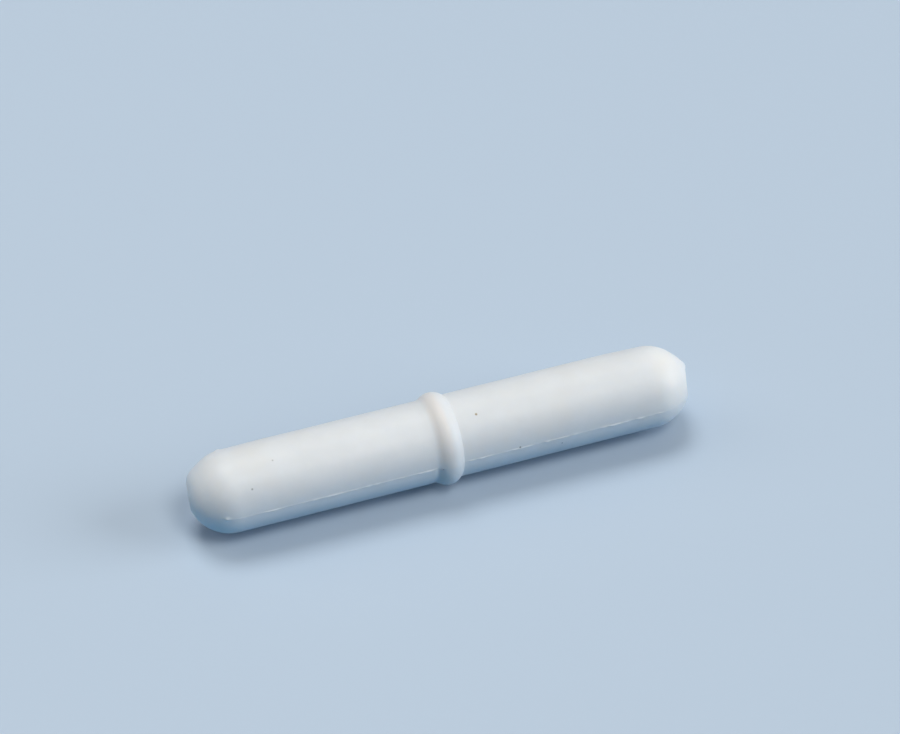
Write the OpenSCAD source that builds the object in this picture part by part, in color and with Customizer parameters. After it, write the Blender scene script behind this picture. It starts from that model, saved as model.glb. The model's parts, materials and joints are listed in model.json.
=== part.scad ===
// Magnetic stir bar: a rod magnet sealed in a moulded white jacket with a pivot ring round its middle.
// The bar lies along X with its middle at the origin and +Z up. The mould parts on the XY plane.
// All sizes are in millimetres, and angles in degrees.

/* [Jacket] */
// Outside diameter of the straight shanks
shank_d = 8; // [6:0.1:12]
// Length over the two trimmed domes
bar_l = 50; // [30:0.5:80]
// Wall between the magnet's side and the shank's surface
side_wall = 1.2; // [0.6:0.1:2]
// Solid jacket between each end of the magnet and the end of the bar
end_wall = 4; // [2.5:0.25:8]

/* [Pivot ring] */
// How far the crown of the ring stands out of the shank
ring_h = 0.5; // [0.2:0.05:1]
// Width of the ring at its foot
ring_w = 2.4; // [2:0.1:5]
// Fillet where the ring runs into the shank
ring_fillet = 0.15; // [0.05:0.05:0.4]

/* [End lands] */
// Diameter of the flat land where the gate was trimmed off the left dome
left_land_d = 2.5; // [1:0.1:4]
// Diameter of the flat land where the gate was trimmed off the right dome
right_land_d = 3; // [1:0.1:4]
// Lean of the left land from square to the bar
left_lean = 15; // [0:0.5:20]
// Lean of the right land from square to the bar
right_lean = 16; // [0:0.5:20]
// Side of the left end on which its land is nearer the tip, from +Y towards +Z
left_high_side = 150; // [0:5:355]
// Side of the right end on which its land is nearer the tip, from +Y towards +Z
right_high_side = 345; // [0:5:355]

/* [Parting line] */
// Height of the flash along the parting line
flash_h = 0.06; // [0.02:0.01:0.15]
// Thickness of the flash
flash_w = 0.12; // [0.06:0.01:0.3]
// How far the flash runs past the shank onto each dome
flash_reach = 1.4; // [0:0.1:2.4]

/* [Magnet] */
// Gap between the magnet and the jacket moulded round it
magnet_gap = 0.05; // [0.02:0.01:0.2]
// Chamfer round each end of the magnet
magnet_chamfer = 0.4; // [0.1:0.05:0.8]

/* [Hidden] */
$fn = 96;

LEFT = -1;
RIGHT = 1;
shank_r = shank_d / 2;
// The ring's section is an arc through its crown and its two foot lines
ring_r = (ring_w * ring_w / 4 + ring_h * ring_h) / (2 * ring_h);
ring_centre_r = shank_r + ring_h - ring_r;
// Centre of the fillet at the ring's foot, as a radius and a place along the bar
fillet_centre_r = shank_r + ring_fillet;
fillet_centre_x = sqrt(pow(ring_r + ring_fillet, 2) - pow(fillet_centre_r - ring_centre_r, 2));
magnet_r = shank_r - side_wall - magnet_gap;
magnet_l = bar_l - 2 * (end_wall + magnet_gap);

// Lean of the land at one end
function lean(side) = side == LEFT ? left_lean : right_lean;

// Side on which the land at one end is nearer the tip
function high_side(side) = side == LEFT ? left_high_side : right_high_side;

// Half the angle that a land takes up, as seen from its dome's centre
function land_angle(side) = asin((side == LEFT ? left_land_d : right_land_d) / shank_d);

// Distance from a dome's centre to the plane of its land
function land_depth(side) = shank_r * cos(land_angle(side));

// How far a trimmed dome reaches from its centre. Its tip is left standing where the land leans past it.
function dome_reach(side) = shank_r * cos(max(0, land_angle(side) - lean(side)));

// Distance from the middle of the bar to a dome's centre
function dome_x(side) = bar_l / 2 - dome_reach(side);

// Turns a half section about the bar's own axis: x is the radius and y runs along the bar.
module turned_on_axis() {
    rotate([0, 90, 0])
        rotate_extrude()
            children();
}

// Places what is drawn for the right-hand end at either end.
module at_end(side) {
    mirror([side == LEFT ? 1 : 0, 0, 0])
        children();
}

// Half section of the shanks and both domes, with all of it grown by skin.
module blank_section(skin = 0) {
    r = shank_r + skin;
    translate([0, -dome_x(LEFT)])
        square([r, dome_x(LEFT) + dome_x(RIGHT)]);
    for (side = [LEFT, RIGHT])
        translate([0, side * dome_x(side)])
            intersection() {
                circle(r);
                translate([0, side == LEFT ? -r : 0])
                    square(r);
            }
}

// Half section of the pivot ring, with a fillet at each foot.
module ring_section() {
    root_r = shank_r - ring_h;
    // The line between the two centres crosses the ring's root here, and the two arcs where they touch
    root_x = fillet_centre_x * (root_r - ring_centre_r) / (fillet_centre_r - ring_centre_r);
    intersection() {
        translate([ring_centre_r, 0])
            circle(ring_r);
        translate([root_r, -ring_w])
            square([3 * ring_h, 2 * ring_w]);
    }
    for (side = [LEFT, RIGHT])
        mirror([0, side == LEFT ? 1 : 0])
            difference() {
                polygon([[root_r, root_x], [fillet_centre_r, fillet_centre_x], [root_r, fillet_centre_x]]);
                translate([fillet_centre_r, fillet_centre_x])
                    circle(ring_fillet);
            }
}

// All that is trimmed off a dome, outside the leaning plane of its land.
module trimmed_off(side) {
    at_end(side)
        translate([dome_x(side), 0, 0])
            rotate([high_side(side), 0, 0])
                rotate([0, 0, -lean(side)])
                    translate([land_depth(side), -shank_d, -shank_d])
                        cube(2 * shank_d);
}

// Thin rib that the mould's parting line leaves along both sides.
module flash() {
    length = dome_x(LEFT) + dome_x(RIGHT) + 2 * flash_reach;
    intersection() {
        turned_on_axis()
            blank_section(flash_h);
        translate([-dome_x(LEFT) - flash_reach, -shank_d, -flash_w / 2])
            cube([length, 2 * shank_d, flash_w]);
    }
}

// The magnet's own shape, or the hole for it when gap is added all round.
module magnet_blank(gap = 0) {
    r = magnet_r + gap;
    half_l = magnet_l / 2 + gap;
    c = magnet_chamfer;
    turned_on_axis()
        polygon([
            [0, -half_l], [r - c, -half_l], [r, c - half_l],
            [r, half_l - c], [r - c, half_l], [0, half_l],
        ]);
}

module moulded_jacket() {
    color([0.93, 0.94, 0.94])
        difference() {
            union() {
                turned_on_axis() {
                    blank_section();
                    ring_section();
                }
                flash();
            }
            trimmed_off(LEFT);
            trimmed_off(RIGHT);
            magnet_blank(magnet_gap);
        }
}

module rod_magnet() {
    color([0.42, 0.42, 0.44])
        magnet_blank();
}

moulded_jacket();
rod_magnet();
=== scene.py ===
"""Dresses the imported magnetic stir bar: its moulded jacket, the magnet sealed inside it and a plain table.

The jacket is modelled again as one fine moulding, turned about the bar's own axis, trimmed at both ends and
then marked by its mould: the flash along the parting line, the flatter half below it, the groove at the
ring's left foot, nubs, pits and a faint waviness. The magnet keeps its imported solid.

The bar lies along X with its parting line nearly level, and +Z is up. Shapes are worked out in millimetres
and put into metres at the end.
"""

import json
import logging
import math
from dataclasses import dataclass
from enum import IntEnum
from typing import Protocol

import bmesh
import bpy
from mathutils import Matrix, Vector, noise


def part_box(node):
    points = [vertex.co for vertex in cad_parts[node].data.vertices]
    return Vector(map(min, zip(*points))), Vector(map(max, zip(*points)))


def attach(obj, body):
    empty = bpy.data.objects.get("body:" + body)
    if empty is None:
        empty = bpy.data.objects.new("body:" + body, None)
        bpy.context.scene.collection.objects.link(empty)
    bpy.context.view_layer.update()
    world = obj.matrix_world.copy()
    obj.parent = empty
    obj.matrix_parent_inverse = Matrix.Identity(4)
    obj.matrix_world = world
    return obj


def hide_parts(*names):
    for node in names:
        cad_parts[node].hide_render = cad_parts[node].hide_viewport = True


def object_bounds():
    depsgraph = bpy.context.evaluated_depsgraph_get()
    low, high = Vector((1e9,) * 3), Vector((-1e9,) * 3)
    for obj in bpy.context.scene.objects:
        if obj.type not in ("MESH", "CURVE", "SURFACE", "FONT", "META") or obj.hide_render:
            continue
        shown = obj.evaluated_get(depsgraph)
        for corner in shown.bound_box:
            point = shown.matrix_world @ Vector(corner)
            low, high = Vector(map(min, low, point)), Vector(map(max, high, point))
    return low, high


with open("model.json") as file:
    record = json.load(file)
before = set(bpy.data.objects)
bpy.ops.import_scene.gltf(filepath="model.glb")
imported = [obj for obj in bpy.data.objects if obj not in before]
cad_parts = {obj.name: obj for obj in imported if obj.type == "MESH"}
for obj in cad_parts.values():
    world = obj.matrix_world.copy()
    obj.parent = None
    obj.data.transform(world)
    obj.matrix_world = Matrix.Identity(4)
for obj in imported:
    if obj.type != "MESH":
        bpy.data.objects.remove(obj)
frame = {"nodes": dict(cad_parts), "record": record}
CAD_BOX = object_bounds()

LOG = logging.getLogger("stir_bar")
MM = 0.001
# Vertices closer than this are one vertex, in millimetres
WELD_DISTANCE = 0.001

Rgb = tuple[float, float, float]
Point = tuple[float, float, float]
# What an input of a node takes: another node's output, a number, or a colour or a vector
Source = bpy.types.NodeSocket | float | tuple[float, ...]

# The table and the backdrop, where they are seen
PALE_BLUE: Rgb = (0.50, 0.60, 0.72)
# A noise texture's value nearly always lies between these two
NOISE_LOW = 0.3
NOISE_HIGH = 0.7


class End(IntEnum):
    """The two ends of the bar, by the sign of X."""

    LEFT = -1
    RIGHT = 1


def smooth_step(low: float, high: float, value: float) -> float:
    """Rises from 0 to 1 as a value goes from low to high, without a corner at either end.

    Args:
        low: Value at which the result leaves 0.
        high: Value at which the result reaches 1.
        value: The value itself.

    Returns:
        The share from 0 to 1.
    """
    share = min(1.0, max(0.0, (value - low) / (high - low)))
    return share * share * (3.0 - 2.0 * share)


# ---------------------------------------------------------------- sizes


@dataclass(frozen=True)
class BarSizes:
    """The bar's main sizes in millimetres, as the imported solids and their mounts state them."""

    half_length: float
    crown_r: float
    shank_r: float
    magnet_r: float
    magnet_half_length: float

    @classmethod
    def from_frame(cls) -> "BarSizes":
        """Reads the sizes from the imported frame.

        Returns:
            The bar's sizes.
        """
        _, jacket_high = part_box("moulded_jacket")
        _, magnet_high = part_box("rod_magnet")
        mounts = {mount["name"]: mount for mount in frame["record"]["mounts"]}
        return cls(
            half_length=jacket_high.x / MM,
            crown_r=jacket_high.z / MM,
            shank_r=mounts["left_shank"]["dims"]["r_mm"],
            magnet_r=magnet_high.z / MM,
            magnet_half_length=magnet_high.x / MM,
        )


# ---------------------------------------------------------------- drawing and turning


class Pen:
    """Draws a half section above the bar's axis, from left to right, with bmesh operators."""

    TURN_AXIS = (0.0, 1.0, 0.0)

    def __init__(self, mesh: bmesh.types.BMesh, x: float, r: float) -> None:
        """Puts the pen down.

        Args:
            mesh: The mesh that is drawn in.
            x: Place along the bar.
            r: Distance from the bar's axis.
        """
        self.mesh = mesh
        self.tip = mesh.verts.new((x, 0.0, r))

    def line(self, x: float, r: float, rows: int = 1) -> None:
        """Draws a straight line to a place, in equal rows.

        Args:
            x: Place along the bar where the line ends.
            r: Distance from the bar's axis where it ends.
            rows: Number of edges that make the line.
        """
        start, end = self.tip.co.copy(), Vector((x, 0.0, r))
        for row in range(1, rows + 1):
            drawn = bmesh.ops.extrude_vert_indiv(self.mesh, verts=[self.tip])
            self.tip = drawn["verts"][0]
            self.tip.co = start.lerp(end, row / rows)

    def arc(self, x: float, r: float, angle: float, rows: int) -> None:
        """Swings the pen about a centre.

        Args:
            x: Place of the centre along the bar.
            r: Distance of the centre from the bar's axis.
            angle: Angle in radians, clockwise as seen with +X to the right and the axis below.
            rows: Number of edges that make the arc.
        """
        swung = bmesh.ops.spin(
            self.mesh, geom=[self.tip], cent=(x, 0.0, r), axis=self.TURN_AXIS, angle=angle, steps=rows
        )
        self.tip = next(item for item in swung["geom_last"] if isinstance(item, bmesh.types.BMVert))


@dataclass(frozen=True)
class Turning:
    """Turns a half section about the bar's axis, with fine steps across the two parting lines."""

    fine_half_angle: float = math.radians(5.5)
    fine_steps: int = 24
    coarse_steps: int = 45

    def arcs(self) -> list[tuple[float, int]]:
        """Lists the arcs of one turn, from the top round by the front.

        Returns:
            Each arc's angle in radians and its number of steps.
        """
        fine = (2.0 * self.fine_half_angle, self.fine_steps)
        quarter = (math.pi / 2.0 - self.fine_half_angle, self.coarse_steps)
        return [quarter, fine, quarter, quarter, fine, quarter]

    def turn(self, mesh: bmesh.types.BMesh) -> None:
        """Turns all that the mesh holds about X and welds the seam and the poles.

        Args:
            mesh: The mesh with the drawn section.
        """
        moving = mesh.verts[:] + mesh.edges[:]
        for angle, steps in self.arcs():
            turned = bmesh.ops.spin(
                mesh, geom=moving, cent=(0.0, 0.0, 0.0), axis=(1.0, 0.0, 0.0), angle=angle, steps=steps
            )
            moving = turned["geom_last"]
        bmesh.ops.remove_doubles(mesh, verts=mesh.verts[:], dist=WELD_DISTANCE)


@dataclass(frozen=True)
class RingSection:
    """The pivot ring's section: an arc through its crown, run into the shank by a fillet at each foot."""

    shank_r: float
    crown_r: float
    # Place of the crown along the bar, which is a little off the middle
    crown_x: float = -0.18
    width: float = 2.25
    left_fillet: float = 1.1
    right_fillet: float = 0.08
    crown_rows: int = 26
    fillet_rows: int = 6

    def arc_r(self) -> float:
        """Gives the radius of the crown's arc, which passes through both foot lines."""
        height = self.crown_r - self.shank_r
        return (self.width**2 / 4.0 + height**2) / (2.0 * height)

    def foot(self, fillet: float) -> tuple[float, float]:
        """Finds the centre of a fillet.

        Args:
            fillet: Radius of the fillet.

        Returns:
            Its distance along the bar from the crown, and the angle from the crown to it at the centre of
            the crown's arc.
        """
        above_centre = self.shank_r + fillet - (self.crown_r - self.arc_r())
        along = math.sqrt((self.arc_r() + fillet) ** 2 - above_centre**2)
        return along, math.atan2(along, above_centre)

    def left_foot_x(self) -> float:
        """Gives the place where the left shank ends."""
        return self.crown_x - self.foot(self.left_fillet)[0]

    def draw(self, pen: Pen) -> None:
        """Draws the ring with a pen that stands at the end of the left shank.

        Args:
            pen: The pen, which is left at the start of the right shank.
        """
        left_x, left_angle = self.foot(self.left_fillet)
        right_x, right_angle = self.foot(self.right_fillet)
        crown_x = self.crown_x
        pen.arc(crown_x - left_x, self.shank_r + self.left_fillet, -left_angle, self.fillet_rows)
        pen.arc(crown_x, self.crown_r - self.arc_r(), left_angle + right_angle, self.crown_rows)
        pen.arc(crown_x + right_x, self.shank_r + self.right_fillet, -right_angle, self.fillet_rows)


@dataclass(frozen=True)
class Land:
    """The flat where the gate was trimmed off a dome. It leans, so its middle isn't on the bar's axis."""

    end: End
    shank_r: float
    half_length: float
    radius: float
    lean: float
    high_side: float
    # Widths of the rounded edge, of the raised rim and of the slope inside it, and the depth of the plate
    edge: float = 0.05
    rim: float = 0.22
    slope: float = 0.08
    dish: float = 0.03
    plate_rings: int = 4
    # Edges of the outline that are shorter than this are closed up
    shortest_edge: float = 0.015

    def depth(self) -> float:
        """Gives the distance from the dome's centre to the land's plane."""
        return math.sqrt(self.shank_r**2 - self.radius**2)

    def dome_x(self) -> float:
        """Gives the distance from the middle of the bar to the dome's centre."""
        past_tip = max(0.0, math.asin(self.radius / self.shank_r) - self.lean)
        return self.half_length - self.shank_r * math.cos(past_tip)

    def outward(self) -> Vector:
        """Gives the land's unit normal, which points away from the bar."""
        high = Vector((0.0, math.cos(self.high_side), math.sin(self.high_side)))
        return Vector((self.end * math.cos(self.lean), 0.0, 0.0)) - high * math.sin(self.lean)

    def trim(self, mesh: bmesh.types.BMesh) -> None:
        """Cuts the dome off at the land's plane, and closes the cut by rings that shrink to its middle.

        Args:
            mesh: The turned mesh with its whole domes.
        """
        outward = self.outward()
        middle = Vector((self.end * self.dome_x(), 0.0, 0.0)) + outward * (self.depth() - self.edge)
        cut = bmesh.ops.bisect_plane(
            mesh,
            geom=mesh.verts[:] + mesh.edges[:] + mesh.faces[:],
            dist=WELD_DISTANCE,
            plane_co=middle,
            plane_no=outward,
            clear_outer=True,
        )
        rim = [item for item in cut["geom_cut"] if isinstance(item, bmesh.types.BMVert)]
        bmesh.ops.remove_doubles(mesh, verts=rim, dist=self.shortest_edge)
        outline = [edge for edge in mesh.edges if edge.is_boundary and edge.verts[0].co.x * self.end > 0.0]
        for inset, lift in self.rings():
            drawn = bmesh.ops.extrude_edge_only(mesh, edges=outline)["geom"]
            verts = [item for item in drawn if isinstance(item, bmesh.types.BMVert)]
            outline = [item for item in drawn if isinstance(item, bmesh.types.BMEdge)]
            mean = sum(((vert.co - middle).length for vert in verts), 0.0) / len(verts)
            share = (mean - inset) / mean
            bmesh.ops.scale(mesh, verts=verts, vec=(share,) * 3, space=Matrix.Translation(-middle))
            bmesh.ops.translate(mesh, verts=verts, vec=outward * lift)
            middle += outward * lift
        plate = bmesh.ops.contextual_create(mesh, geom=outline)["faces"]
        bmesh.ops.poke(mesh, faces=plate)

    def rings(self) -> list[tuple[float, float]]:
        """Lists the rings that close the cut, from the land's edge to its middle.

        Returns:
            Each ring's distance in from the one before, and its lift along the land's normal.
        """
        plate = self.radius - self.edge - self.rim - self.slope
        plate_ring = plate / (self.plate_rings + 1)
        # Two rings round the edge off, the first steep and the second shallow
        edge = [(self.edge * 0.4, self.edge * 0.7), (self.edge * 0.6, self.edge * 0.3)]
        return edge + [(self.rim, 0.0), (self.slope, -self.dish)] + [(plate_ring, 0.0)] * self.plate_rings


# ---------------------------------------------------------------- marks of the mould


class Mark(Protocol):
    """Something that raises or sinks the jacket's skin a little."""

    def rise(self, at: Vector) -> float:
        """Gives how far the skin rises along its normal.

        Args:
            at: A point of the plain skin, in millimetres.

        Returns:
            The rise in millimetres, which is negative where the skin sinks.
        """


@dataclass(frozen=True)
class Waviness:
    """Soft unevenness that sintering leaves all over the skin. It only goes inwards."""

    depth: float = 0.024
    length: float = 4.2
    fine_depth: float = 0.004
    fine_length: float = 1.1

    def rise(self, at: Vector) -> float:
        """Sinks the skin by two sizes of noise.

        Args:
            at: A point of the plain skin, in millimetres.

        Returns:
            The rise in millimetres, which is never above 0.
        """
        broad = 0.5 + 0.5 * noise.noise(at / self.length)
        fine = 0.5 + 0.5 * noise.noise(at / self.fine_length)
        return -(self.depth * broad + self.fine_depth * fine)


@dataclass(frozen=True)
class PartingPlane:
    """The plane on which the mould parts. It is rolled a little about the bar."""

    shank_r: float
    # How far the plane lies above level on the shank's front, and below it on the back
    roll: float = 0.13

    def above(self, at: Vector) -> float:
        """Gives how far a point lies above the plane."""
        return at.z + self.roll * at.y / self.shank_r


@dataclass(frozen=True)
class Flash:
    """The ridge along both sides of the parting plane, with places where it tore off lower."""

    plane: PartingPlane
    dome_start: float
    # The ridge's thickness, how steep its sides are, and how many thicknesses from its middle it ends
    thickness: float = 0.14
    steepness: float = 1.9
    reach: float = 1.5
    # Its least height, and how much more the patches and the nicks may add
    low: float = 0.03
    swing: float = 0.12
    swing_base: float = 0.15
    patch_length: float = 1.9
    patch_weight: float = 1.1
    nicks_per_mm: float = 2.1
    nick_weight: float = 0.7
    # How far past the start of a dome it dies out
    fade: float = 1.8
    # On the ring it was rubbed down to this share, and it starts to grow again inside the ring's edge, at
    # this share of its half width
    ring_share: float = 0.2
    ring_half_width: float = 1.2
    ring_fade: float = 0.8

    def height(self, x: float, side: float) -> float:
        """Gives the ridge's height at a place along the bar.

        Args:
            x: Place along the bar.
            side: -1 on the front and 1 on the back.

        Returns:
            The height above the skin.
        """
        # The second and third numbers only pick a stretch of the noise for each side
        patches = noise.noise(Vector((x / self.patch_length, side * 7.0, 0.0)))
        nicks = noise.noise(Vector((x * self.nicks_per_mm, side * 3.0, 5.0)))
        uneven = self.swing_base + self.patch_weight * patches + self.nick_weight * nicks
        height = self.low + self.swing * max(0.0, uneven)
        kept = 1.0 - smooth_step(self.dome_start, self.dome_start + self.fade, abs(x))
        on_ring = 1.0 - smooth_step(self.ring_half_width * self.ring_fade, self.ring_half_width, abs(x))
        return height * kept * (1.0 - on_ring * (1.0 - self.ring_share))

    def rise(self, at: Vector) -> float:
        """Raises the skin within the ridge's thickness.

        Args:
            at: A point of the plain skin, in millimetres.

        Returns:
            The rise in millimetres.
        """
        across = abs(self.plane.above(at)) / self.thickness
        if across > self.reach:
            return 0.0
        return self.height(at.x, math.copysign(1.0, at.y)) * math.exp(-((across * self.steepness) ** 4))


@dataclass(frozen=True)
class LowerHalf:
    """The mould's lower half, which is a little flatter than the upper one just below the parting plane."""

    plane: PartingPlane
    depth: float = 0.035
    span: float = math.radians(42.0)

    def rise(self, at: Vector) -> float:
        """Sinks the skin from the parting plane down to the end of the span, the most half-way.

        Args:
            at: A point of the plain skin, in millimetres.

        Returns:
            The rise in millimetres, which is never above 0.
        """
        below = math.atan2(-self.plane.above(at), abs(at.y))
        share = below / self.span
        if not 0.0 < share < 1.0:
            return 0.0
        # The factor of 4 makes it the full depth half-way
        return -4.0 * self.depth * share * (1.0 - share)


@dataclass(frozen=True)
class SharpFoot:
    """The groove along the left foot of the ring's lower half, where the mould's corner is sharper."""

    x: float = -1.42
    depth: float = 0.22
    width: float = 0.27
    # Distances below the bar's axis at which the groove starts and is full, and at which it fades and ends
    start: float = 0.05
    full: float = 0.5
    fade: float = 2.2
    stop: float = 3.2

    def rise(self, at: Vector) -> float:
        """Sinks the skin along the foot.

        Args:
            at: A point of the plain skin, in millimetres.

        Returns:
            The rise in millimetres, which is never above 0.
        """
        along = (at.x - self.x) / self.width
        below = smooth_step(self.start, self.full, -at.z) * (1.0 - smooth_step(self.fade, self.stop, -at.z))
        return -self.depth * below * math.exp(-along * along)


@dataclass(frozen=True)
class Bump:
    """A nub that stands out of the skin, or a pit where its height is negative."""

    at: Point
    height: float
    length: float
    width: float
    # How many lengths or widths from its middle the bump ends
    reach: float = 3.0

    def rise(self, at: Vector) -> float:
        """Raises the skin round the bump's middle.

        Args:
            at: A point of the plain skin, in millimetres.

        Returns:
            The rise in millimetres.
        """
        along = (at.x - self.at[0]) / self.length
        across = math.hypot(at.y - self.at[1], at.z - self.at[2]) / self.width
        away = along * along + across * across
        if away > self.reach**2:
            return 0.0
        return self.height * math.exp(-away)


@dataclass(frozen=True)
class Shoulder:
    """The fall of the upper half towards one end, where the moulding shrank round the end of the magnet."""

    end: End
    shank_r: float
    depth: float
    # Places along the bar: where the fall starts and is full, and where it fades and ends near the land
    start: float = 16.5
    full: float = 22.5
    fade: float = 23.8
    stop: float = 24.6
    # Height above the bar's axis, as a share of the shank's radius, from which the fall is full
    upper: float = 0.4

    def rise(self, at: Vector) -> float:
        """Sinks the skin on the upper side of this end.

        Args:
            at: A point of the plain skin, in millimetres.

        Returns:
            The rise in millimetres, which is never above 0.
        """
        place = at.x * self.end
        fall = smooth_step(self.start, self.full, place) * (1.0 - smooth_step(self.fade, self.stop, place))
        return -self.depth * fall * smooth_step(0.0, self.upper, at.z / self.shank_r)


# ---------------------------------------------------------------- shader nodes


@dataclass(frozen=True)
class NodeSheet:
    """Adds nodes to one tree and joins their sockets."""

    tree: bpy.types.NodeTree

    def add(self, kind: str, **options: object) -> bpy.types.Node:
        """Adds a node.

        Args:
            kind: Blender's name for the node.
            **options: Options to set on it.

        Returns:
            The new node.
        """
        node = self.tree.nodes.new(kind)
        for option, value in options.items():
            setattr(node, option, value)
        return node

    def feed(self, socket: bpy.types.NodeSocket, source: Source) -> None:
        """Gives a socket its value.

        Args:
            socket: The input.
            source: An output that is linked to it, or a plain value.
        """
        if isinstance(source, bpy.types.NodeSocket):
            self.tree.links.new(source, socket)
        else:
            socket.default_value = source

    def math(self, operation: str, *values: Source) -> bpy.types.NodeSocket:
        """Adds a Math node.

        Args:
            operation: Its operation.
            *values: Its inputs, as outputs of other nodes or numbers.

        Returns:
            Its result.
        """
        node = self.add("ShaderNodeMath", operation=operation)
        for socket, value in zip(node.inputs, values):
            self.feed(socket, value)
        return node.outputs[0]

    def ramp(
        self, value: Source, low: float, high: float, start: float = 0.0, end: float = 1.0
    ) -> bpy.types.NodeSocket:
        """Maps a value smoothly from one range to another.

        Args:
            value: The value.
            low: Value that becomes start.
            high: Value that becomes end.
            start: First result.
            end: Last result.

        Returns:
            The mapped value.
        """
        node = self.add("ShaderNodeMapRange", interpolation_type="SMOOTHSTEP")
        given = {"Value": value, "From Min": low, "From Max": high, "To Min": start, "To Max": end}
        for name, source in given.items():
            self.feed(node.inputs[name], source)
        return node.outputs["Result"]

    def blend(self, share: Source, first: Source, second: Source) -> bpy.types.NodeSocket:
        """Mixes two colours.

        Args:
            share: Share of the second colour.
            first: A colour as three numbers, or an output.
            second: A colour as three numbers, or an output.

        Returns:
            The mixed colour.
        """
        node = self.add("ShaderNodeMix", data_type="RGBA")
        self.feed(node.inputs["Factor"], share)
        # The node's colours are its inputs 6 and 7 and its output 2
        for socket, colour in ((node.inputs[6], first), (node.inputs[7], second)):
            self.feed(socket, (*colour, 1.0) if isinstance(colour, tuple) else colour)
        return node.outputs[2]

    def noise(self, vector: Source, scale: Source, detail: float = 2.0) -> bpy.types.NodeSocket:
        """Adds a Noise Texture and gives its value.

        Args:
            vector: The coordinates.
            scale: Cells per metre.
            detail: Number of finer layers.

        Returns:
            Its value, about 0.5 on average.
        """
        node = self.add("ShaderNodeTexNoise")
        self.feed(node.inputs["Vector"], vector)
        self.feed(node.inputs["Scale"], scale)
        self.feed(node.inputs["Detail"], detail)
        return node.outputs["Fac"]

    def bump(self, height: Source, distance: float) -> bpy.types.NodeSocket:
        """Adds a Bump node.

        Args:
            height: The height, which is about 1 at the most.
            distance: What a height of 1 comes to, in metres.

        Returns:
            The bumped normal.
        """
        node = self.add("ShaderNodeBump")
        self.feed(node.inputs["Strength"], 1.0)
        self.feed(node.inputs["Distance"], distance)
        self.feed(node.inputs["Height"], height)
        return node.outputs["Normal"]

    def seen(self) -> bpy.types.NodeSocket:
        """Tells a surface that is looked at from one that only lights others.

        Returns:
            1 where it is seen straight, in a gloss or through glass, and 0 where it lights others.
        """
        path = self.add("ShaderNodeLightPath")
        straight = path.outputs["Is Camera Ray"]
        mirrored = path.outputs["Is Glossy Ray"]
        through = path.outputs["Is Transmission Ray"]
        return self.math("MAXIMUM", straight, self.math("MAXIMUM", mirrored, through))

    def stretch(self, vector: Source, scale: Point) -> bpy.types.NodeSocket:
        """Scales coordinates by a factor on each axis.

        Args:
            vector: The coordinates.
            scale: The three factors.

        Returns:
            The scaled coordinates.
        """
        node = self.add("ShaderNodeVectorMath", operation="MULTIPLY")
        self.feed(node.inputs[0], vector)
        self.feed(node.inputs[1], scale)
        return node.outputs[0]


class Effect:
    """A node group that several finishes use. It is made when the first of them asks for it."""

    NAME: str = ""
    # Each socket's name and kind
    INPUTS: tuple[tuple[str, str], ...] = ()
    OUTPUTS: tuple[tuple[str, str], ...] = ()

    def tree(self) -> bpy.types.NodeTree:
        """Gives the group, and makes it the first time.

        Returns:
            The group's tree.
        """
        made = bpy.data.node_groups.get(self.NAME)
        if made is not None:
            return made
        tree = bpy.data.node_groups.new(self.NAME, "ShaderNodeTree")
        for in_out, sockets in (("INPUT", self.INPUTS), ("OUTPUT", self.OUTPUTS)):
            for name, kind in sockets:
                tree.interface.new_socket(name, in_out=in_out, socket_type=kind)
        self.wire(NodeSheet(tree))
        return tree

    def wire(self, sheet: NodeSheet) -> None:
        """Fills the group with its nodes.

        Args:
            sheet: The group's own tree.
        """
        raise NotImplementedError

    def place(self, sheet: NodeSheet, **values: Source) -> bpy.types.Node:
        """Puts the group into a material.

        Args:
            sheet: The material's tree.
            **values: The group's inputs by name, in small letters.

        Returns:
            The group's node.
        """
        node = sheet.add("ShaderNodeGroup", node_tree=self.tree())
        for socket in node.inputs:
            if socket.name.lower() in values:
                sheet.feed(socket, values[socket.name.lower()])
        return node


class Grain(Effect):
    """Fine grain in two sizes: a height for bump, and a slow tone for colour."""

    NAME = "fine_grain"
    INPUTS = (("Vector", "NodeSocketVector"), ("Fine", "NodeSocketFloat"), ("Broad", "NodeSocketFloat"))
    OUTPUTS = (("Height", "NodeSocketFloat"), ("Tone", "NodeSocketFloat"))
    # Shares of the height that the two sizes make up
    FINE_SHARE = 0.7
    BROAD_SHARE = 0.3

    def wire(self, sheet: NodeSheet) -> None:
        """Adds two layers of noise up to the height, and gives the slow one as the tone too.

        Args:
            sheet: The group's own tree.
        """
        given = sheet.add("NodeGroupInput")
        given_vector = given.outputs["Vector"]
        fine = sheet.noise(given_vector, given.outputs["Fine"], 3.0)
        broad = sheet.noise(given_vector, given.outputs["Broad"], 4.0)
        fine_part = sheet.math("MULTIPLY", fine, self.FINE_SHARE)
        broad_part = sheet.math("MULTIPLY", broad, self.BROAD_SHARE)
        result = sheet.add("NodeGroupOutput")
        sheet.feed(result.inputs["Height"], sheet.math("ADD", fine_part, broad_part))
        sheet.feed(result.inputs["Tone"], sheet.ramp(broad, NOISE_LOW, NOISE_HIGH))


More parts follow.
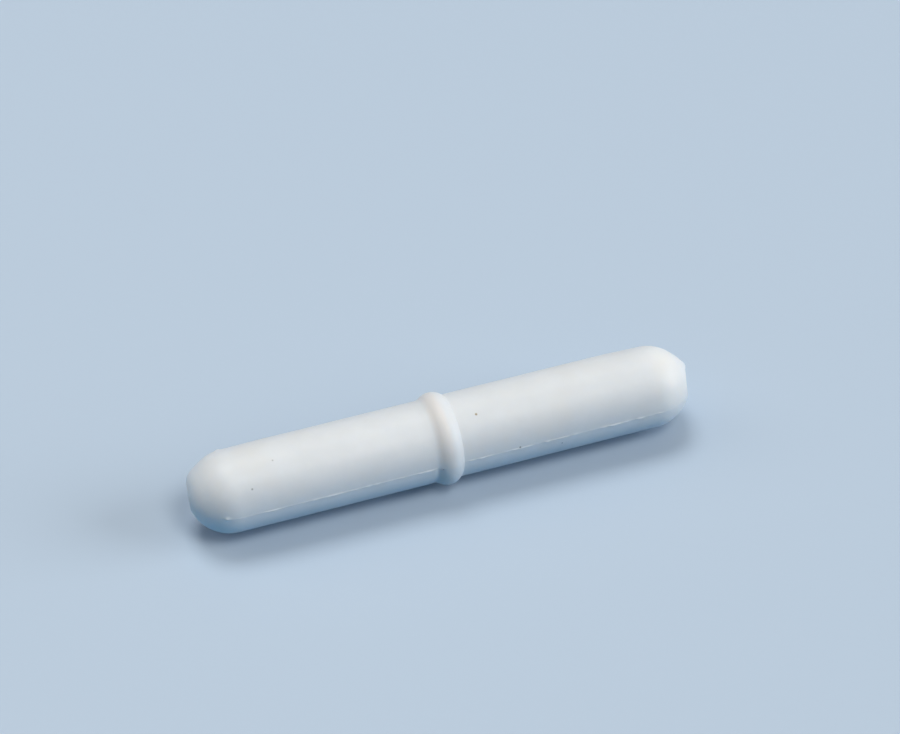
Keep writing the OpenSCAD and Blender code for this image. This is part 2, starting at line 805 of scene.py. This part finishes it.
class Streaks(Effect):
    """Thin lines along one direction, broken here and there, as rubbing or grinding leaves them."""

    NAME = "fine_streaks"
    INPUTS = (("Vector", "NodeSocketVector"), ("Across", "NodeSocketFloat"), ("Share", "NodeSocketFloat"))
    OUTPUTS = (("Mask", "NodeSocketFloat"),)
    # How sharply a line stands out of the noise
    SHARPNESS = 8.0
    # The slower noise: its rate beside that of the lines, and where it shuts them off and lets them through
    BREAK_RATE = 0.23
    BREAK_SHUT = 0.45
    BREAK_OPEN = 0.6

    def wire(self, sheet: NodeSheet) -> None:
        """Keeps the peaks of a noise on stretched coordinates, where a slower noise lets them through.

        Args:
            sheet: The group's own tree.
        """
        given = sheet.add("NodeGroupInput")
        given_vector = given.outputs["Vector"]
        lines = sheet.noise(given_vector, given.outputs["Across"], 2.0)
        slow = sheet.math("MULTIPLY", given.outputs["Across"], self.BREAK_RATE)
        breaks = sheet.ramp(sheet.noise(given_vector, slow, 1.0), self.BREAK_SHUT, self.BREAK_OPEN)
        limit = sheet.math("SUBTRACT", 1.0, given.outputs["Share"])
        peaks = sheet.math("MULTIPLY", sheet.math("SUBTRACT", lines, limit), self.SHARPNESS)
        mask = sheet.math("MULTIPLY", sheet.math("MAXIMUM", peaks, 0.0), breaks)
        result = sheet.add("NodeGroupOutput")
        sheet.feed(result.inputs["Mask"], sheet.math("MINIMUM", mask, 1.0))


# ---------------------------------------------------------------- finishes


@dataclass(frozen=True)
class Finish:
    """A material whose patterns follow Object coordinates. Each finish joins its own nodes in it."""

    name: str = ""

    def material(self) -> bpy.types.Material:
        """Makes the material.

        Returns:
            The new material.
        """
        material = bpy.data.materials.new(self.name)
        material.use_nodes = True
        sheet = NodeSheet(material.node_tree)
        here = sheet.add("ShaderNodeTexCoord").outputs["Object"]
        self.fill(sheet, sheet.tree.nodes["Principled BSDF"], here)
        return material

    def fill(self, sheet: NodeSheet, shader: bpy.types.Node, here: bpy.types.NodeSocket) -> None:
        """Joins the finish's nodes to the shader.

        Args:
            sheet: The material's tree.
            shader: Its Principled BSDF.
            here: The Object coordinates.
        """
        raise NotImplementedError


@dataclass(frozen=True)
class DirtAndShadeSpeck:
    """A soft-edged spot laid over the skin. Most are bits of dirt pressed into it; those in the notch at the
    ring's left foot are painted shade.
    """

    at: Point
    radius: float
    colour: Rgb
    share: float
    # Shares of the radius at which the speck starts to fade and is gone
    core: float = 0.4
    halo: float = 1.3

    def lay_over(self, sheet: NodeSheet, here: bpy.types.NodeSocket, colour: Source) -> bpy.types.NodeSocket:
        """Lays the speck over a colour.

        Args:
            sheet: The material's tree.
            here: The Object coordinates.
            colour: The colour without the speck.

        Returns:
            The colour with it.
        """
        gap = sheet.add("ShaderNodeVectorMath", operation="DISTANCE")
        sheet.feed(gap.inputs[0], here)
        sheet.feed(gap.inputs[1], tuple(size * MM for size in self.at))
        fade_from, fade_to = self.radius * self.core * MM, self.radius * self.halo * MM
        inside = sheet.ramp(gap.outputs["Value"], fade_from, fade_to, self.share, 0.0)
        return sheet.blend(inside, colour, self.colour)


@dataclass(frozen=True)
class PaintedFlankShade:
    """Painted warm shade on the left flank of the ring, all the way round: a redder, less blue tone where
    light that comes through the translucent skin into the shaded flank turns warm.
    """

    colour: Rgb = (0.90, 0.84, 0.795)
    share: float = 0.85
    # Its place along the bar, how far it reaches to either side, and the share of that where it is full
    x: float = -0.75
    reach: float = 0.95
    core: float = 0.3

    def lay_over(self, sheet: NodeSheet, here: bpy.types.NodeSocket, colour: Source) -> bpy.types.NodeSocket:
        """Lays the painted warm shade over a colour.

        Args:
            sheet: The material's tree.
            here: The Object coordinates.
            colour: The colour without the painted warm shade.

        Returns:
            The colour with it.
        """
        split = sheet.add("ShaderNodeSeparateXYZ")
        sheet.feed(split.inputs[0], here)
        away = sheet.math("ABSOLUTE", sheet.math("SUBTRACT", split.outputs["X"], self.x * MM))
        inside = sheet.ramp(away, self.reach * self.core * MM, self.reach * MM, self.share, 0.0)
        return sheet.blend(inside, colour, self.colour)


@dataclass(frozen=True)
class Fluoropolymer(Finish):
    """White moulded fluoropolymer: waxy, faintly mottled, with a few specks of dirt in its skin, painted warm
    shade on the ring's left flank and painted shade in the notch at the ring's foot.
    """

    name: str = "white_fluoropolymer"
    white: Rgb = (0.86, 0.868, 0.872)
    cloud: Rgb = (0.825, 0.832, 0.835)
    # Warm patches all over the skin: their colour, their greatest share, the cells of their noise per
    # metre, and the noise at which a patch starts and is full
    warm: Rgb = (0.84, 0.815, 0.78)
    warm_share: float = 0.45
    warm_scale: float = 140.0
    warm_start: float = 0.56
    warm_full: float = 0.72
    # Cells per metre of the grain and of the rub marks, which run round the bar
    fine_grain: float = 5200.0
    broad_grain: float = 320.0
    rub_scale: float = 3600.0
    rub_stretch: Point = (1.0, 0.06, 0.06)
    rub_share: float = 0.36
    rub_depth: float = 0.5
    # Height of the grain in millimetres
    relief: float = 0.004
    # The grain's tops are glossier than its hollows by twice the swing
    roughness: float = 0.42
    roughness_swing: float = 0.05
    refraction: float = 1.36
    # Light that wanders inside the skin: its share, how far it goes in millimetres, and what share of
    # that red, green and blue go
    milky_share: float = 0.55
    milky_depth: float = 4.0
    milky_colours: Rgb = (1.0, 0.85, 0.7)
    marks: tuple[PaintedFlankShade | DirtAndShadeSpeck, ...] = (
        # Painted warm shade on the ring's left flank
        PaintedFlankShade(),
        DirtAndShadeSpeck((-17.05, -1.25, 3.80), 0.10, (0.40, 0.40, 0.38), 0.55),
        DirtAndShadeSpeck((-19.65, -3.07, 2.56), 0.12, (0.25, 0.25, 0.24), 0.75),
        # Painted shade in the notch where the flash meets the ring's left foot: dark blue-grey spots that
        # stand in for the shadow under the flash
        DirtAndShadeSpeck((-1.56, -3.98, -0.10), 0.09, (0.10, 0.13, 0.19), 0.7),
        DirtAndShadeSpeck((-1.36, -3.98, -0.09), 0.10, (0.10, 0.13, 0.19), 0.8),
        DirtAndShadeSpeck((-1.14, -4.02, -0.06), 0.09, (0.10, 0.13, 0.19), 0.7),
        DirtAndShadeSpeck((2.92, -1.67, 3.63), 0.13, (0.36, 0.27, 0.14), 0.9),
        DirtAndShadeSpeck((6.52, -3.99, 0.25), 0.10, (0.12, 0.13, 0.15), 0.8),
        DirtAndShadeSpeck((10.8, -3.94, -0.67), 0.10, (0.16, 0.18, 0.22), 0.7),
    )

    def colour(
        self, sheet: NodeSheet, here: bpy.types.NodeSocket, tone: bpy.types.NodeSocket
    ) -> bpy.types.NodeSocket:
        """Mottles and warms the white, then lays over it the painted warm shade on the ring's left flank and
        the specks, of which those in the notch at the ring's foot are painted shade.

        Args:
            sheet: The material's tree.
            here: The Object coordinates.
            tone: The grain's slow tone.

        Returns:
            The skin's colour.
        """
        colour = sheet.blend(tone, self.cloud, self.white)
        patches = sheet.noise(here, self.warm_scale, 3.0)
        warm = sheet.ramp(patches, self.warm_start, self.warm_full, 0.0, self.warm_share)
        colour = sheet.blend(warm, colour, self.warm)
        for mark in self.marks:
            colour = mark.lay_over(sheet, here, colour)
        return colour

    def fill(self, sheet: NodeSheet, shader: bpy.types.Node, here: bpy.types.NodeSocket) -> None:
        """Joins the skin's colour, grain and rub marks to the shader, and sets its milkiness.

        Args:
            sheet: The material's tree.
            shader: Its Principled BSDF.
            here: The Object coordinates.
        """
        grain = Grain().place(sheet, vector=here, fine=self.fine_grain, broad=self.broad_grain)
        round_the_bar = sheet.stretch(here, self.rub_stretch)
        rubbed = Streaks().place(sheet, vector=round_the_bar, across=self.rub_scale, share=self.rub_share)
        height = grain.outputs["Height"]
        sheet.feed(shader.inputs["Base Color"], self.colour(sheet, here, grain.outputs["Tone"]))
        dull, bright = self.roughness + self.roughness_swing, self.roughness - self.roughness_swing
        sheet.feed(shader.inputs["Roughness"], sheet.ramp(height, NOISE_LOW, NOISE_HIGH, dull, bright))
        scratches = sheet.math("MULTIPLY", rubbed.outputs["Mask"], self.rub_depth)
        normal = sheet.bump(sheet.math("SUBTRACT", height, scratches), self.relief * MM)
        sheet.feed(shader.inputs["Normal"], normal)
        shader.inputs["IOR"].default_value = self.refraction
        shader.inputs["Subsurface Weight"].default_value = self.milky_share
        shader.inputs["Subsurface Radius"].default_value = self.milky_colours
        shader.inputs["Subsurface Scale"].default_value = self.milky_depth * MM


@dataclass(frozen=True)
class MagnetAlloy(Finish):
    """Grey cast magnet alloy, with its side ground round and cast pores left in it."""

    name: str = "magnet_alloy"
    ground: Rgb = (0.46, 0.46, 0.48)
    cast: Rgb = (0.34, 0.34, 0.35)
    pore: Rgb = (0.12, 0.115, 0.11)
    # Cells per metre of the grain, of the grinding marks, which run round the rod, and of the pores
    fine_grain: float = 2600.0
    broad_grain: float = 420.0
    grinding_scale: float = 5200.0
    grinding_stretch: Point = (1.0, 0.04, 0.04)
    grinding_share: float = 0.5
    pore_scale: float = 1500.0
    # The noise at which a pore starts and is full, and its depth beside the height of the grain
    pore_start: float = 0.66
    pore_full: float = 0.74
    pore_depth: float = 3.0
    # Height of the grain in millimetres
    relief: float = 0.006
    roughness: float = 0.4
    roughness_swing: float = 0.15

    def fill(self, sheet: NodeSheet, shader: bpy.types.Node, here: bpy.types.NodeSocket) -> None:
        """Joins the alloy's grain, pores and grinding marks to the shader.

        Args:
            sheet: The material's tree.
            shader: Its Principled BSDF.
            here: The Object coordinates.
        """
        grain = Grain().place(sheet, vector=here, fine=self.fine_grain, broad=self.broad_grain)
        round_the_rod = sheet.stretch(here, self.grinding_stretch)
        ground = Streaks().place(
            sheet, vector=round_the_rod, across=self.grinding_scale, share=self.grinding_share
        )
        pores = sheet.ramp(sheet.noise(here, self.pore_scale), self.pore_start, self.pore_full)
        height = grain.outputs["Height"]
        metal = sheet.blend(grain.outputs["Tone"], self.cast, self.ground)
        sheet.feed(shader.inputs["Base Color"], sheet.blend(pores, metal, self.pore))
        dull = self.roughness + self.roughness_swing
        polish = sheet.ramp(height, NOISE_LOW, NOISE_HIGH, dull, self.roughness)
        sheet.feed(shader.inputs["Roughness"], polish)
        hollows = sheet.math("ADD", ground.outputs["Mask"], sheet.math("MULTIPLY", pores, self.pore_depth))
        normal = sheet.bump(sheet.math("SUBTRACT", height, hollows), self.relief * MM)
        sheet.feed(shader.inputs["Normal"], normal)
        shader.inputs["Metallic"].default_value = 1.0


@dataclass(frozen=True)
class TableTop(Finish):
    """Matt table that is pale where it is seen, and that lights the bar as a deep blue sheet would."""

    name: str = "table_top"
    pale: Rgb = PALE_BLUE
    bounced: Rgb = (0.04, 0.22, 0.42)
    # Cells per metre of the grain, and its height in millimetres
    fine_grain: float = 900.0
    broad_grain: float = 160.0
    relief: float = 0.02
    roughness: float = 0.6

    def fill(self, sheet: NodeSheet, shader: bpy.types.Node, here: bpy.types.NodeSocket) -> None:
        """Joins the table's two colours and its grain to the shader.

        Args:
            sheet: The material's tree.
            shader: Its Principled BSDF.
            here: The Object coordinates.
        """
        grain = Grain().place(sheet, vector=here, fine=self.fine_grain, broad=self.broad_grain)
        sheet.feed(shader.inputs["Base Color"], sheet.blend(sheet.seen(), self.bounced, self.pale))
        sheet.feed(shader.inputs["Normal"], sheet.bump(grain.outputs["Height"], self.relief * MM))
        shader.inputs["Roughness"].default_value = self.roughness


# ---------------------------------------------------------------- sub-assemblies


@dataclass
class Jacket:
    """The moulded jacket: shanks, domes and pivot ring in one, round a sealed hole for the magnet."""

    sizes: BarSizes
    finish: Fluoropolymer
    # Each land's diameter, its lean from square to the bar, and the side on which it is nearer the tip, in
    # degrees from +Y towards +Z
    left_land: tuple[float, float, float] = (2.5, 15.0, 150.0)
    right_land: tuple[float, float, float] = (3.0, 16.0, 345.0)
    # Length of a row of faces along the shanks, and the number of rows on each dome
    row: float = 0.2
    dome_rows: int = 46
    # The hole lies this far off the magnet, whose ends are chamfered
    magnet_gap: float = 0.05
    chamfer: float = 0.4
    cavity_end_rows: int = 4
    cavity_side_rows: int = 20
    cavity_steps: int = 72
    # How far the upper half falls towards each end
    left_fall: float = 0.055
    right_fall: float = 0.11
    bumps: tuple[Bump, ...] = (
        # Lumps that the trimming left by the left land and by the right one
        Bump((-24.18, 2.19, 1.04), 0.21, 0.7, 1.0),
        Bump((24.62, 0.15, 1.45), 0.17, 0.3, 0.45),
        # Nubs on the back of the left dome
        Bump((-22.6, 2.0, 3.2), 0.06, 0.35, 0.45),
        Bump((-21.3, 2.5, 3.15), 0.12, 0.28, 0.25),
        # Thick end of the flash on the left dome, with a pit below it
        Bump((-22.4, -3.77, 0.24), 0.15, 0.32, 0.13),
        Bump((-22.1, -3.65, -0.3), -0.05, 0.35, 0.2),
        # Higher bits of the flash along the front, and the notch where it meets the ring's left foot
        Bump((-13.9, -4.0, 0.16), 0.07, 0.45, 0.12),
        Bump((-11.9, -4.0, 0.16), 0.09, 0.5, 0.12),
        Bump((-8.7, -4.0, 0.16), 0.07, 0.25, 0.11),
        Bump((-7.9, -4.0, 0.16), 0.08, 0.25, 0.11),
        Bump((-1.4, -4.0, -0.08), -0.26, 0.32, 0.11),
        Bump((5.2, -4.0, 0.16), 0.03, 0.4, 0.11),
        Bump((9.2, -4.0, 0.17), 0.1, 0.22, 0.12),
        Bump((11.95, -4.0, 0.17), 0.09, 0.25, 0.12),
        Bump((14.9, -4.0, 0.18), 0.08, 0.4, 0.12),
        Bump((17.2, -4.0, 0.18), 0.09, 0.3, 0.12),
        Bump((18.5, -4.0, 0.18), 0.08, 0.22, 0.11),
        # Pit under the speck near the left dome
        Bump((-19.65, -3.07, 2.56), -0.03, 0.12, 0.12),
    )
    name: str = "jacket_moulding"

    def ring(self) -> RingSection:
        """Gives the pivot ring's section."""
        return RingSection(self.sizes.shank_r, self.sizes.crown_r)

    def lands(self) -> dict[End, Land]:
        """Places the land at each end.

        Returns:
            The two lands by their ends.
        """
        return {
            end: Land(
                end,
                self.sizes.shank_r,
                self.sizes.half_length,
                radius=diameter / 2.0,
                lean=math.radians(lean),
                high_side=math.radians(high_side),
            )
            for end, (diameter, lean, high_side) in ((End.LEFT, self.left_land), (End.RIGHT, self.right_land))
        }

    def marks(self) -> list[Mark]:
        """Lists what the mould and the trimming left on the skin.

        Returns:
            The marks, each of which moves the skin on its own.
        """
        shank_r = self.sizes.shank_r
        plane = PartingPlane(shank_r)
        return [
            Waviness(),
            LowerHalf(plane),
            SharpFoot(),
            Shoulder(End.LEFT, shank_r, self.left_fall),
            Shoulder(End.RIGHT, shank_r, self.right_fall),
            Flash(plane, min(land.dome_x() for land in self.lands().values())),
            *self.bumps,
        ]

    def draw_outside(self, mesh: bmesh.types.BMesh) -> None:
        """Draws and turns the outside with its whole domes, before they are trimmed.

        Args:
            mesh: An empty mesh.
        """
        lands = self.lands()
        ring = self.ring()
        left_x, right_x = lands[End.LEFT].dome_x(), lands[End.RIGHT].dome_x()
        shank_r = self.sizes.shank_r
        pen = Pen(mesh, -left_x - shank_r, 0.0)
        pen.arc(-left_x, 0.0, math.pi / 2.0, self.dome_rows)
        pen.line(ring.left_foot_x(), shank_r, round((left_x + ring.left_foot_x()) / self.row))
        ring.draw(pen)
        pen.line(right_x, shank_r, round((right_x - pen.tip.co.x) / self.row))
        pen.arc(right_x, 0.0, math.pi / 2.0, self.dome_rows)
        Turning().turn(mesh)

    def add_cavity(self, mesh: bmesh.types.BMesh) -> None:
        """Adds the wall of the hole for the magnet, whose faces point into the hole.

        Args:
            mesh: The mesh that holds the outside.
        """
        outside = set(mesh.verts[:] + mesh.edges[:] + mesh.faces[:])
        half = self.sizes.magnet_half_length + self.magnet_gap
        radius = self.sizes.magnet_r + self.magnet_gap
        pen = Pen(mesh, -half, 0.0)
        pen.line(-half, radius - self.chamfer, self.cavity_end_rows)
        pen.line(self.chamfer - half, radius)
        pen.line(half - self.chamfer, radius, self.cavity_side_rows)
        pen.line(half, radius - self.chamfer)
        pen.line(half, 0.0, self.cavity_end_rows)
        bmesh.ops.spin(
            mesh,
            geom=[item for item in mesh.verts[:] + mesh.edges[:] if item not in outside],
            cent=(0.0, 0.0, 0.0),
            axis=(1.0, 0.0, 0.0),
            angle=math.tau,
            steps=self.cavity_steps,
            use_merge=True,
        )
        verts = [vert for vert in mesh.verts if vert not in outside]
        bmesh.ops.remove_doubles(mesh, verts=verts, dist=WELD_DISTANCE)
        wall = [face for face in mesh.faces if face not in outside]
        bmesh.ops.recalc_face_normals(mesh, faces=wall)
        bmesh.ops.reverse_faces(mesh, faces=wall)

    def mark(self, mesh: bmesh.types.BMesh) -> None:
        """Moves each vertex by all the marks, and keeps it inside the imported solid's box.

        Args:
            mesh: The trimmed outside.
        """
        marks = self.marks()
        low, high = (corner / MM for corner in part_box("moulded_jacket"))
        mesh.normal_update()
        for vert in mesh.verts:
            place = vert.co + vert.normal * sum(each.rise(vert.co) for each in marks)
            vert.co = [min(max(size, least), most) for size, least, most in zip(place, low, high)]

    def build(self) -> bpy.types.Object:
        """Models the jacket.

        Returns:
            The piece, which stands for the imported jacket.
        """
        mesh = bmesh.new()
        self.draw_outside(mesh)
        for land in self.lands().values():
            land.trim(mesh)
        bmesh.ops.recalc_face_normals(mesh, faces=mesh.faces[:])
        self.mark(mesh)
        self.add_cavity(mesh)
        bmesh.ops.scale(mesh, verts=mesh.verts[:], vec=(MM, MM, MM))
        for face in mesh.faces:
            face.smooth = True
        data = bpy.data.meshes.new(self.name)
        mesh.to_mesh(data)
        mesh.free()
        piece = bpy.data.objects.new(self.name, data)
        bpy.context.scene.collection.objects.link(piece)
        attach(piece, "root")
        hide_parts("moulded_jacket")
        return piece

    def dress(self, piece: bpy.types.Object) -> None:
        """Gives the piece its finish."""
        piece.data.materials.append(self.finish.material())


@dataclass
class Magnet:
    """The rod magnet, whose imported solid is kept."""

    finish: MagnetAlloy
    node: str = "rod_magnet"

    def dress(self) -> bpy.types.Object:
        """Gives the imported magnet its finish.

        Returns:
            The magnet.
        """
        piece = frame["nodes"][self.node]
        piece.data.materials.clear()
        piece.data.materials.append(self.finish.material())
        return piece


@dataclass
class Table:
    """The plain table that the bar lies on."""

    finish: TableTop
    # In metres, and wide enough to keep the table's edge out of sight
    radius: float = 12.0
    segments: int = 64
    name: str = "table"

    def build(self) -> bpy.types.Object:
        """Makes the table's top under the lowest point of the bar.

        Returns:
            The table, which isn't part of the object.
        """
        mesh = bmesh.new()
        bmesh.ops.create_circle(mesh, cap_ends=True, segments=self.segments, radius=self.radius)
        bmesh.ops.translate(mesh, verts=mesh.verts[:], vec=(0.0, 0.0, CAD_BOX[0].z))
        data = bpy.data.meshes.new(self.name)
        mesh.to_mesh(data)
        mesh.free()
        data.materials.append(self.finish.material())
        top = bpy.data.objects.new(self.name, data)
        bpy.context.scene.collection.objects.link(top)
        return top


# ---------------------------------------------------------------- light and camera


def direction(azimuth: float, height: float) -> Vector:
    """Gives the way from the bar to where a lamp or the camera stands.

    Args:
        azimuth: Degrees from +X towards +Y.
        height: Degrees above the table.

    Returns:
        The unit vector.
    """
    turn, rise = math.radians(azimuth), math.radians(height)
    level = math.cos(rise)
    return Vector((level * math.cos(turn), level * math.sin(turn), math.sin(rise)))


@dataclass(frozen=True)
class SoftLamp:
    """A distant soft lamp, placed by the side it stands on and its height above the table."""

    name: str
    # Degrees from +X towards +Y, and degrees above the table
    azimuth: float
    height: float
    # At a strength of 1 a white surface that faces the lamp renders white
    strength: float
    # Angle that the lamp takes up as seen from the bar, in degrees
    spread: float
    colour: Rgb

    def light(self) -> bpy.types.Object:
        """Makes the lamp.

        Returns:
            The lamp, aimed at the bar.
        """
        data = bpy.data.lights.new(self.name, "SUN")
        data.energy = self.strength * math.pi
        data.angle = math.radians(self.spread)
        data.color = self.colour
        lamp = bpy.data.objects.new(self.name, data)
        lamp.rotation_euler = direction(self.azimuth, self.height).to_track_quat("Z", "Y").to_euler()
        bpy.context.scene.collection.objects.link(lamp)
        return lamp


@dataclass
class Studio:
    """Plain soft studio light with a pale backdrop."""

    lamps: tuple[SoftLamp, ...] = (
        SoftLamp("top_lamp", 97.0, 71.0, 0.39, 28.0, (0.92, 0.95, 0.97)),
        SoftLamp("front_lamp", -68.0, 62.0, 0.27, 22.0, (1.0, 0.97, 0.91)),
        SoftLamp("side_lamp", -22.0, 23.0, 0.51, 35.0, (0.94, 0.96, 0.97)),
        SoftLamp("back_lamp", 147.0, 39.0, 0.13, 40.0, (1.0, 0.97, 0.92)),
    )
    room: Rgb = (0.103, 0.107, 0.108)
    backdrop: Rgb = PALE_BLUE

    def light(self) -> None:
        """Makes the lamps and the room's own light."""
        for lamp in self.lamps:
            lamp.light()
            LOG.info("lamp %s", lamp.name)
        world = bpy.data.worlds.new("studio")
        world.use_nodes = True
        sheet = NodeSheet(world.node_tree)
        sheet.tree.nodes.clear()
        room = sheet.add("ShaderNodeBackground")
        sheet.feed(room.inputs["Color"], (*self.room, 1.0))
        backdrop = sheet.add("ShaderNodeBackground")
        sheet.feed(backdrop.inputs["Color"], (*self.backdrop, 1.0))
        mixed = sheet.add("ShaderNodeMixShader")
        sheet.feed(mixed.inputs[0], sheet.seen())
        sheet.feed(mixed.inputs[1], room.outputs[0])
        sheet.feed(mixed.inputs[2], backdrop.outputs[0])
        output = sheet.add("ShaderNodeOutputWorld")
        sheet.feed(output.inputs["Surface"], mixed.outputs[0])
        bpy.context.scene.world = world


@dataclass(frozen=True)
class ViewPoint:
    """A long lens that looks down at the bar from its front, a little to the left."""

    lens: float = 180.0
    sensor: float = 36.0
    # Degrees from +X towards +Y, degrees above the table, and millimetres from the middle of the bar
    azimuth: float = -109.676
    height: float = 43.80
    distance: float = 425.6
    # The point that the camera looks at, in millimetres
    aim: Point = (4.15, 8.97, 0.0)

    def place(self) -> bpy.types.Object:
        """Makes the scene's camera.

        Returns:
            The camera.
        """
        data = bpy.data.cameras.new("camera")
        data.lens = self.lens
        data.sensor_width = self.sensor
        camera = bpy.data.objects.new("camera", data)
        camera.location = direction(self.azimuth, self.height) * self.distance * MM
        gaze = Vector(self.aim) * MM - camera.location
        camera.rotation_euler = gaze.to_track_quat("-Z", "Y").to_euler()
        bpy.context.scene.collection.objects.link(camera)
        bpy.context.scene.camera = camera
        return camera


def main() -> None:
    """Builds and dresses every piece, then sets up the light and the camera."""
    logging.basicConfig(level=logging.INFO, format="%(message)s")
    ViewPoint().place()
    jacket = Jacket(BarSizes.from_frame(), Fluoropolymer())
    moulding = jacket.build()
    jacket.dress(moulding)
    LOG.info("%s: %d faces", moulding.name, len(moulding.data.polygons))
    magnet = Magnet(MagnetAlloy()).dress()
    LOG.info("%s: %d faces", magnet.name, len(magnet.data.polygons))
    table = Table(TableTop()).build()
    LOG.info("%s", table.name)
    Studio().light()
    bpy.context.scene.view_settings.view_transform = "Standard"


if __name__ == "__main__":
    main()
